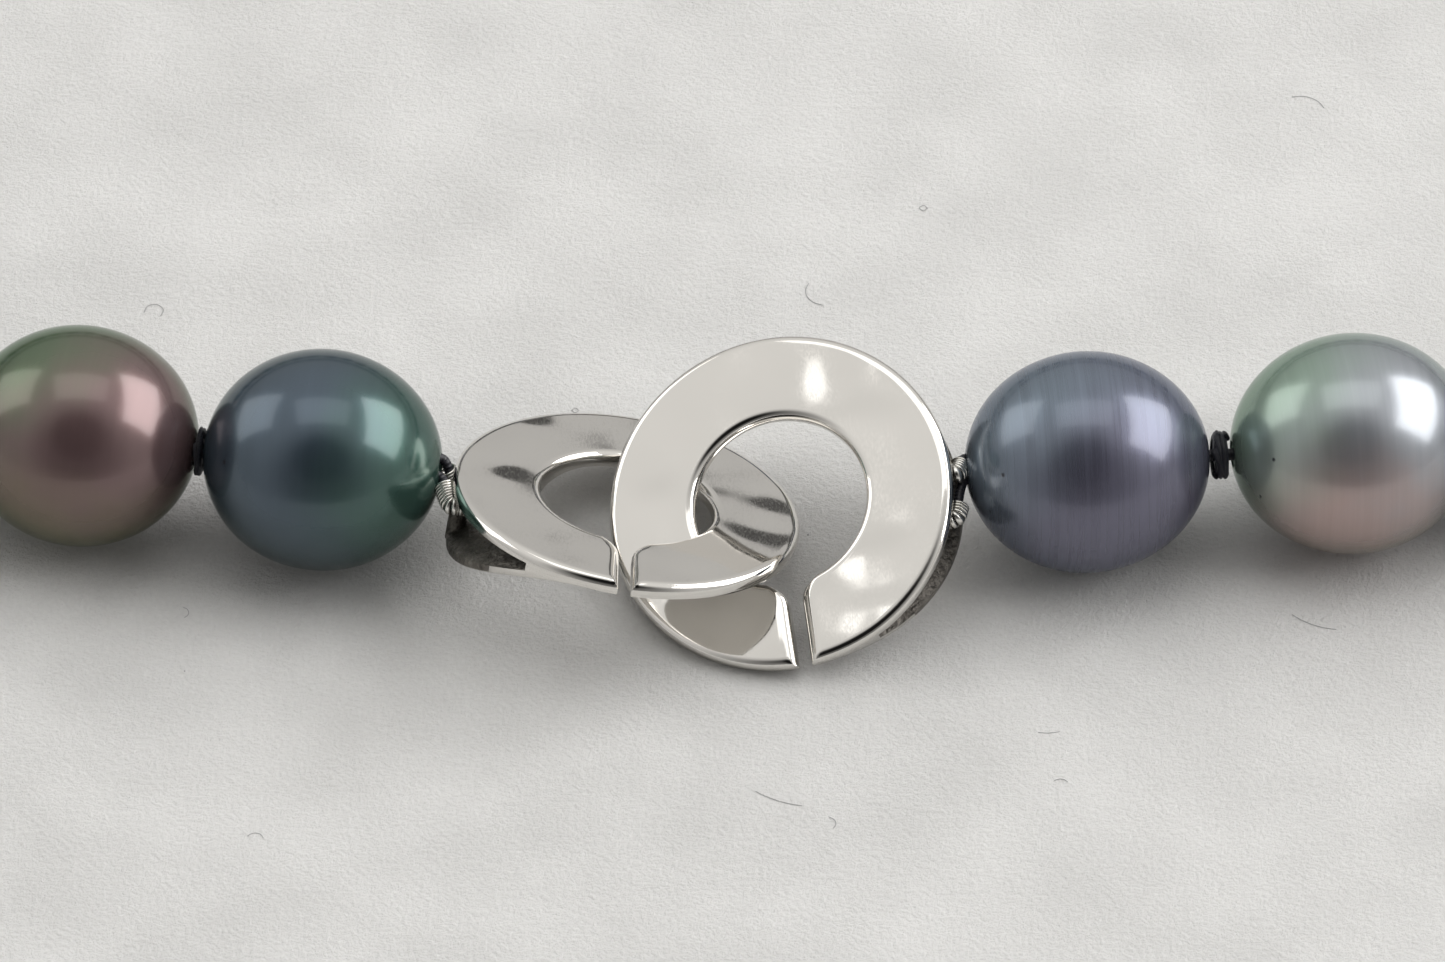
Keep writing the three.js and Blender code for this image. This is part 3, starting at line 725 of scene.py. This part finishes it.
class NECKLACE_OT_silk(bpy.types.Operator):
    """Knots between the pearls and the silk loops that hold the clasp"""
    bl_idname = "necklace.silk"
    bl_label = "Silk"

    def execute(self, context):
        sizes = context.scene.necklace_silk
        silk = dyed_silk(sizes.colour)
        for number in range(1, PEARL_COUNT):
            near, far = PEARLS[number], PEARLS[number + 1]
            start, end = near.mouth(1), far.mouth(-1)
            along = (far.centre - near.centre)
            along.z = 0
            gap = (end - start).length
            bm = knot_bmesh((start + end) / 2, along.normalized(), gap, sizes)
            replaced = ["silk_thread"] if number == 1 else []
            bends = (near.node, far.node, start, end)
            finish_piece(f"silk_knot_{number:02d}", bm, [silk], bends, replaced)
        clasp = clasp_figures(context)
        for ring, pearl in clasp_ends(clasp):
            line, mouth = clasp_path(ring, clasp, pearl, 1.0, 1.0)
            inward = (pearl.centre - mouth).normalized()
            path = Path([mouth + inward * 1.6 * MM] + line + [mouth + inward * 1.6 * MM])
            bm = bmesh.new()
            strand = straight_strand(bm, 0.2 * MM, path.length, 90, 10)
            lay_on_path(strand, path)
            # On the right the silk is hitched once more round itself beside the pearl.
            if ring.side > 0:
                hitch = straight_strand(bm, 0.17 * MM, 0.3 * MM, 30, 10, 1.7, 0.36 * MM)
                across = UP.cross(inward)
                turned = Matrix((inward, across, UP)).transposed().to_4x4()
                bmesh.ops.transform(bm, verts=hitch, matrix=Matrix.Translation(
                    mouth - inward * 0.34 * MM) @ turned)
            smooth_faces(bm)
            bends = (pearl.node, ring.body, mouth, mouth - inward * BEND_LENGTH)
            finish_piece(f"silk_loop_{ring.word}", bm, [silk], bends)
        return {"FINISHED"}


# Clasp ----------------------------------------------------------------------------------

def clasp_figures(context):
    """The clasp's figures in millimetres, with the ones that follow from them."""
    sizes = context.scene.necklace_clasp
    figures = {name: getattr(sizes, name) / MM for name in (
        "hole", "band", "thin", "deep", "gap", "rim")}
    figures["outer"] = figures["hole"] + figures["band"]
    figures["post_radius"] = 0.42
    figures["post"] = figures["outer"] - figures["post_radius"]
    figures["wrap"] = 0.99
    figures["wrap_depth"] = 1.02
    figures["taper"] = 1.5
    figures["face"] = 0.45
    figures["back"] = 0.3
    figures["wall"] = 0.45
    figures["window"] = math.radians(56)
    return figures


def clasp_ends(clasp):
    return (
        (RingPlace("left", -1, clasp), PEARLS[1]),
        (RingPlace("right", 1, clasp), PEARLS[PEARL_COUNT]),
    )


def ring_depth(clasp, reach):
    """Depth of a ring at a distance towards its post: thin where it links, then deeper."""
    share = max(reach - clasp["taper"], 0) / (clasp["outer"] - clasp["taper"])
    return clasp["thin"] + (clasp["deep"] - clasp["thin"]) * share * share


def rounded_drop(distance, radius):
    """How far a rounded edge has dropped at a distance in from the edge."""
    inside = max(1 - distance / radius, 0)
    return radius * (1 - math.sqrt(max(1 - inside * inside, 0)))


def gap_half_width(clasp, radius):
    """Half the width of a ring's opening: even at the rim, flared towards the hole."""
    start = clasp["hole"] + 1.0
    flare = max(start - radius, 0) / (start - clasp["hole"])
    return clasp["gap"] / 2 + 0.75 * flare ** 3


def radial_rows(clasp):
    hole, outer, rim = clasp["hole"], clasp["outer"], clasp["rim"]
    rows = [hole + share * 0.3 for share in (0, 0.1, 0.3, 0.6, 1, 1.25)]
    rows += [hole + offset for offset in (0.42, 0.6, 0.8, 1.0, 1.5, 2.1, 2.7)]
    rows += [outer - share * rim for share in (1.3, 1, 0.6, 0.3, 0.1, 0)]
    return rows


def spun_band(rows, top, bottom, angle, steps, start):
    """A band with a rectangular section, spun about Z from a start angle."""
    bm = bmesh.new()
    bmesh.ops.create_grid(bm, x_segments=len(rows) - 1, y_segments=1, size=1.0,
                          matrix=Matrix.Rotation(math.pi / 2, 4, "X"))
    columns = sorted({round(v.co.x, 5) for v in bm.verts})
    for vert in bm.verts:
        vert.co = (rows[columns.index(round(vert.co.x, 5))], 0,
                   top if vert.co.z > 0 else bottom)
    bm.transform(Matrix.Rotation(start, 4, "Z"))
    bmesh.ops.spin(bm, geom=bm.verts[:] + bm.edges[:] + bm.faces[:], cent=(0, 0, 0),
                   axis=(0, 0, 1), angle=angle, steps=steps, use_duplicate=False)
    bmesh.ops.remove_doubles(bm, verts=bm.verts, dist=1e-6)
    return bm


def ring_body(ring, clasp, gap_turn):
    """One open ring before it is hollowed, in its own frame and millimetres."""
    steps = 128
    edge_rows = (0, 0.05, 0.12, 0.21, 0.32, 0.45, 0.6)
    bm = spun_band(radial_rows(clasp), 0.0, -1.0, 2 * math.pi * (steps - 1) / steps,
                   steps, 0.0)
    centre = math.radians(-90 + gap_turn)
    step_angle = 2 * math.pi * (steps - 1) / steps / steps
    for vert in bm.verts:
        radius = math.hypot(vert.co.x, vert.co.y)
        index = round((math.atan2(vert.co.y, vert.co.x) % (2 * math.pi)) / step_angle)
        from_end = min(index, steps - index)
        low = gap_half_width(clasp, radius)
        first = math.asin(low / radius)
        span = 2 * math.pi - 2 * first
        last_row = len(edge_rows) - 1
        if from_end <= last_row:
            inset = edge_rows[from_end]
            turn = inset / radius
        else:
            inset = CLEAR_OF_EDGES
            begin = edge_rows[-1] / radius
            turn = begin + (span / 2 - begin) * (from_end - last_row) / (
                steps / 2 - last_row)
        angle = first + turn if index <= steps / 2 else first + span - turn
        bottom = vert.co.z < -0.5
        x = radius * math.cos(centre + angle)
        y = radius * math.sin(centre + angle)
        depth = ring_depth(clasp, ring.side * x)
        rim_in = radius - clasp["hole"]
        rim_out = clasp["outer"] - radius
        if bottom:
            z = -depth + rounded_drop(rim_in, 0.08) + rounded_drop(rim_out, 0.08)
            draw = 0.05 * smoothstep(0.8, 3.0, depth) * depth
            if rim_out < 0.3:
                x, y = x * (1 - draw / radius), y * (1 - draw / radius)
        else:
            z = -max(rounded_drop(rim_in, 0.3), rounded_drop(rim_out, clasp["rim"]),
                     0.75 * rounded_drop(inset, 0.5))
        vert.co = (x, y, z)
    bmesh.ops.recalc_face_normals(bm, faces=bm.faces)
    return bm


def hollow_tool(ring, clasp, inner, outer, half_angle, ceiling, floor_rise):
    """A solid to cut out of a ring: a sector of band that follows the ring's back."""
    start = (0 if ring.side > 0 else math.pi) - half_angle
    rows = [inner + (outer - inner) * k / 6 for k in range(7)]
    bm = spun_band(rows, 0.0, -1.0, 2 * half_angle, 48, start)
    for vert in bm.verts:
        reach = ring.side * vert.co.x
        if vert.co.z > -0.5:
            vert.co.z = -ceiling
        else:
            vert.co.z = min(-(ring_depth(clasp, min(reach, clasp["outer"])) - floor_rise),
                            -ceiling - 0.02)
    bmesh.ops.recalc_face_normals(bm, faces=bm.faces)
    return bm


def post_bmesh(ring, clasp):
    """The post inside the hollow, let into both plates."""
    bm = bmesh.new()
    length = clasp["deep"] - 0.35
    at = Matrix.Translation((ring.side * (clasp["post"] - 0.06), 0, -0.2 - length / 2 + 0.06))
    bmesh.ops.create_cone(bm, cap_ends=True, segments=32, radius1=clasp["post_radius"] - 0.04,
                          radius2=clasp["post_radius"] - 0.04, depth=length, matrix=at)
    return bm


def as_object(bm, name):
    mesh = bpy.data.meshes.new(name)
    bm.to_mesh(mesh)
    bm.free()
    made = bpy.data.objects.new(name, mesh)
    bpy.context.scene.collection.objects.link(made)
    return made


def carved(body, tools):
    """The body after each tool has been cut from it or joined to it."""
    for tool, operation in tools:
        cut = body.modifiers.new("carve", "BOOLEAN")
        cut.object = tool
        cut.operation = operation
        cut.solver = "EXACT"
    graph = bpy.context.evaluated_depsgraph_get()
    mesh = bpy.data.meshes.new_from_object(body.evaluated_get(graph))
    bm = bmesh.new()
    bm.from_mesh(mesh)
    for spare in [body] + [tool for tool, _ in tools]:
        bpy.data.objects.remove(spare)
    bpy.data.meshes.remove(mesh)
    return bm


def is_inside_hollow(ring, clasp, face):
    """Whether a face belongs to the unpolished hollow of a ring."""
    centre = face.calc_center_median()
    reach = ring.side * centre.x
    radius = math.hypot(centre.x, centre.y)
    if reach < 2.0 or radius > clasp["outer"] - 0.04 or radius < clasp["hole"] + 0.2:
        return False
    return -ring_depth(clasp, reach) + 0.1 < centre.z < -0.3


class NECKLACE_OT_clasp(bpy.types.Operator):
    """Two interlinked open rings of polished metal, hollow at the back, each with its post"""
    bl_idname = "necklace.clasp"
    bl_label = "Clasp rings"

    def execute(self, context):
        clasp = clasp_figures(context)
        metal = context.scene.necklace_clasp.metal
        finishes = [polished_white_gold(metal), cast_inside(linear("#A8A39B"))]
        for ring, _ in clasp_ends(clasp):
            turn = 8 if ring.side > 0 else 0
            body = as_object(ring_body(ring, clasp, turn), "ring_blank")
            hollow = hollow_tool(ring, clasp, clasp["hole"] + clasp["wall"],
                                 clasp["outer"] - clasp["wall"], math.radians(64),
                                 clasp["face"], clasp["back"])
            window = hollow_tool(ring, clasp, clasp["outer"] - 2 * clasp["wall"],
                                 clasp["outer"] + 1, clasp["window"],
                                 clasp["face"] + 0.03, clasp["back"] + 0.03)
            tools = [
                (as_object(hollow, "hollow_tool"), "DIFFERENCE"),
                (as_object(window, "window_tool"), "DIFFERENCE"),
                (as_object(post_bmesh(ring, clasp), "post_blank"), "UNION"),
            ]
            bm = carved(body, tools)
            for face in bm.faces:
                face.material_index = int(is_inside_hollow(ring, clasp, face))
            bm.transform(ring.matrix)
            smooth_faces(bm, math.radians(32))
            finish_piece(f"open_ring_{ring.word}", bm, finishes, ring.body,
                         [f"clasp_ring_{ring.word}"])
        return {"FINISHED"}


# Bullion --------------------------------------------------------------------------------

class NECKLACE_OT_bullion(bpy.types.Operator):
    """Fine coiled wire that guards the silk round each post"""
    bl_idname = "necklace.bullion"
    bl_label = "Bullion"

    def execute(self, context):
        sizes = context.scene.necklace_bullion
        finish = drawn_silver_wire(sizes.metal)
        clasp = clasp_figures(context)
        legs = {"left": (0.74, 0.74), "right": (0.3, 0.74)}
        for ring, pearl in clasp_ends(clasp):
            near, far = legs[ring.word]
            line, mouth = clasp_path(ring, clasp, pearl, near, far)
            path = Path(line)
            pitch = 1.02 * sizes.wire
            turns = int(path.length / pitch) - 1
            bm = bmesh.new()
            coil = straight_strand(bm, sizes.wire / 2, turns * pitch, turns * 20, 6, turns,
                                   sizes.coil / 2 - sizes.wire / 2)
            bmesh.ops.translate(bm, vec=(sizes.wire / 2, 0, 0), verts=coil)
            lay_on_path(coil, path)
            smooth_faces(bm)
            inward = (pearl.centre - mouth).normalized()
            bends = (pearl.node, ring.body, mouth, mouth - inward * BEND_LENGTH)
            finish_piece(f"bullion_coil_{ring.word}", bm, [finish], bends,
                         [f"french_wire_{ring.word}"])
        return {"FINISHED"}


# Stage ----------------------------------------------------------------------------------

def softbox(name, at, target, wide, high, radiance, colour):
    """An area light of a given brightness that faces a target."""
    data = bpy.data.lights.new(name, "AREA")
    data.shape = "RECTANGLE"
    data.size = wide
    data.size_y = high
    data.energy = radiance * math.pi * wide * high
    data.color = colour
    light = bpy.data.objects.new(name, data)
    light.location = at
    light.rotation_euler = (Vector(target) - Vector(at)).to_track_quat("-Z", "Y").to_euler()
    bpy.context.scene.collection.objects.link(light)
    return light


def studio_world():
    """A dim studio: a pale ceiling, dimmer walls, and the dark room behind the camera."""
    world = bpy.data.worlds.new("studio")
    world.use_nodes = True
    tree = world.node_tree
    tree.nodes.clear()
    way = add_node(tree, "ShaderNodeTexCoord").outputs["Generated"]
    height = add_node(tree, "ShaderNodeSeparateXYZ", Vector=way)
    ceiling = add_node(tree, "ShaderNodeMapRange", {"interpolation_type": "SMOOTHSTEP"},
                       Value=height.outputs["Z"], From_Min=0.1, From_Max=0.95, To_Min=0.6,
                       To_Max=0.92)
    front = add_node(tree, "ShaderNodeVectorMath", {"operation": "DOT_PRODUCT"}, _0=way,
                     _1=(0.0, -0.82, 0.57))
    dark = add_node(tree, "ShaderNodeMapRange", {"interpolation_type": "SMOOTHSTEP"},
                    Value=front.outputs["Value"], From_Min=0.55, From_Max=0.97, To_Min=1.0,
                    To_Max=0.24)
    # The camera and whoever holds it, darkest of all.
    lens = add_node(tree, "ShaderNodeVectorMath", {"operation": "DOT_PRODUCT"}, _0=way,
                    _1=(0.0, -0.6947, 0.7193))
    seen = add_node(tree, "ShaderNodeMapRange", {"interpolation_type": "SMOOTHSTEP"},
                    Value=lens.outputs["Value"], From_Min=0.85, From_Max=0.975,
                    To_Min=1.0, To_Max=0.05)
    # A dark doorway strip, low on the wall at the back.
    strip = add_node(tree, "ShaderNodeMath", {"operation": "COMPARE"},
                     _0=height.outputs["Z"], _1=0.1, _2=0.03)
    behind = add_node(tree, "ShaderNodeMapRange", Value=height.outputs["Y"],
                      From_Min=0.3, From_Max=0.6, To_Min=0.0, To_Max=0.85)
    shut = add_node(tree, "ShaderNodeMath", {"operation": "MULTIPLY"},
                    _0=strip.outputs[0], _1=behind.outputs[0])
    lit = add_node(tree, "ShaderNodeMath", {"operation": "SUBTRACT"}, _0=1.0,
                   _1=shut.outputs[0])
    total = add_node(tree, "ShaderNodeMath", {"operation": "MULTIPLY"},
                     _0=ceiling.outputs[0], _1=dark.outputs[0])
    total = add_node(tree, "ShaderNodeMath", {"operation": "MULTIPLY"},
                     _0=total.outputs[0], _1=lit.outputs[0])
    total = add_node(tree, "ShaderNodeMath", {"operation": "MULTIPLY"},
                     _0=total.outputs[0], _1=seen.outputs[0])
    shade = add_node(tree, "ShaderNodeBackground", Color=(1.0, 0.99, 0.97, 1.0),
                     Strength=total.outputs[0])
    add_node(tree, "ShaderNodeOutputWorld", Surface=shade.outputs[0])
    bpy.context.scene.world = world


class NECKLACE_OT_stage(bpy.types.Operator):
    """Felt, stray lint, soft lights and the camera"""
    bl_idname = "necklace.stage"
    bl_label = "Stage"

    def shed_lint(self, count):
        """Short curled fibres that lie on the felt round the clasp."""
        bm = bmesh.new()
        middle = HINGES["clasp_left_twist"].copy()
        middle.z = 0.02 * MM
        for number in range(count):
            draw = [noise.cell(Vector((number * 7.1, k * 3.3, 0.5))) for k in range(5)]
            start = middle + Vector((draw[0] * 62 - 24, draw[1] * 50 - 22, 0)) * MM
            heading = draw[2] * 2 * math.pi
            bend = (draw[3] - 0.5) * 1.3
            points = [start]
            for step in range(4):
                angle = heading + bend * step
                way = Vector((math.cos(angle), math.sin(angle), 0))
                points.append(points[-1] + way * (0.12 + 0.4 * draw[4]) * MM)
            path = Path(points, 4)
            fibre = straight_strand(bm, 0.011 * MM, path.length, 12, 5)
            lay_on_path(fibre, path)
        smooth_faces(bm)
        lint = as_object(bm, "loose_lint")
        lint.data.materials.append(loose_fibre())
        return lint

    def execute(self, context):
        sizes = context.scene.necklace_stage
        bm = bmesh.new()
        bmesh.ops.create_grid(bm, x_segments=4, y_segments=4, size=sizes.felt_size / 2)
        felt = as_object(bm, "felt")
        felt.data.materials.append(pressed_felt(sizes.felt))
        self.shed_lint(sizes.lint)
        away = Vector((0, -math.cos(sizes.elevation), math.sin(sizes.elevation)))
        raised = Vector((0, away.z, -away.y))
        middle = (PEARLS[1].centre + PEARLS[PEARL_COUNT].centre) / 2
        target = middle + Vector((0.72 * MM, 0, 0)) - 0.82 * MM * raised
        camera_data = bpy.data.cameras.new("camera")
        camera_data.sensor_width = 36.0
        camera_data.lens = sizes.lens
        camera_data.clip_start = 0.01
        camera_data.clip_end = 20.0
        camera = bpy.data.objects.new("camera", camera_data)
        camera.location = target + away * sizes.distance
        camera.rotation_euler = (-away).to_track_quat("-Z", "Y").to_euler()
        context.scene.collection.objects.link(camera)
        context.scene.camera = camera
        softbox("right_softbox", target + Vector((0.50, 0.10, 0.36)), target, 0.62, 0.42, 4.2,
                (1.0, 1.0, 1.0))
        softbox("left_softbox", target + Vector((-0.52, 0.22, 0.34)), target, 0.42, 0.42, 1.5,
                (1.0, 0.99, 0.97))
        softbox("top_softbox", target + Vector((0.0, 0.12, 0.75)), target, 0.6, 0.4, 0.85,
                (1.0, 1.0, 0.99))
        studio_world()
        context.scene.view_settings.view_transform = "Standard"
        return {"FINISHED"}


# Add-on ---------------------------------------------------------------------------------

OPERATORS = (
    NECKLACE_OT_stage, NECKLACE_OT_pearls, NECKLACE_OT_silk, NECKLACE_OT_clasp,
    NECKLACE_OT_bullion,
)
SETTINGS = {
    "necklace_pearls": PearlSettings,
    "necklace_silk": SilkSettings,
    "necklace_clasp": ClaspSettings,
    "necklace_bullion": BullionSettings,
    "necklace_stage": StageSettings,
}


class NECKLACE_PT_panel(bpy.types.Panel):
    bl_idname = "NECKLACE_PT_panel"
    bl_label = "Pearl necklace"
    bl_space_type = "VIEW_3D"
    bl_region_type = "UI"
    bl_category = "Necklace"

    def draw(self, context):
        for operator in OPERATORS:
            self.layout.operator(operator.bl_idname)
        for name, group in SETTINGS.items():
            box = self.layout.box()
            for setting in group.__annotations__:
                box.prop(getattr(context.scene, name), setting)


def register():
    for group in SETTINGS.values():
        bpy.utils.register_class(group)
    for operator in OPERATORS:
        bpy.utils.register_class(operator)
    bpy.utils.register_class(NECKLACE_PT_panel)
    for name, group in SETTINGS.items():
        setattr(bpy.types.Scene, name, bpy.props.PointerProperty(type=group))


def unregister():
    for name in SETTINGS:
        delattr(bpy.types.Scene, name)
    bpy.utils.unregister_class(NECKLACE_PT_panel)
    for operator in reversed(OPERATORS):
        bpy.utils.unregister_class(operator)
    for group in reversed(list(SETTINGS.values())):
        bpy.utils.unregister_class(group)


def main():
    register()
    bpy.ops.necklace.stage()
    bpy.ops.necklace.pearls()
    bpy.ops.necklace.silk()
    bpy.ops.necklace.clasp()
    bpy.ops.necklace.bullion()


if __name__ == "__main__":
    main()
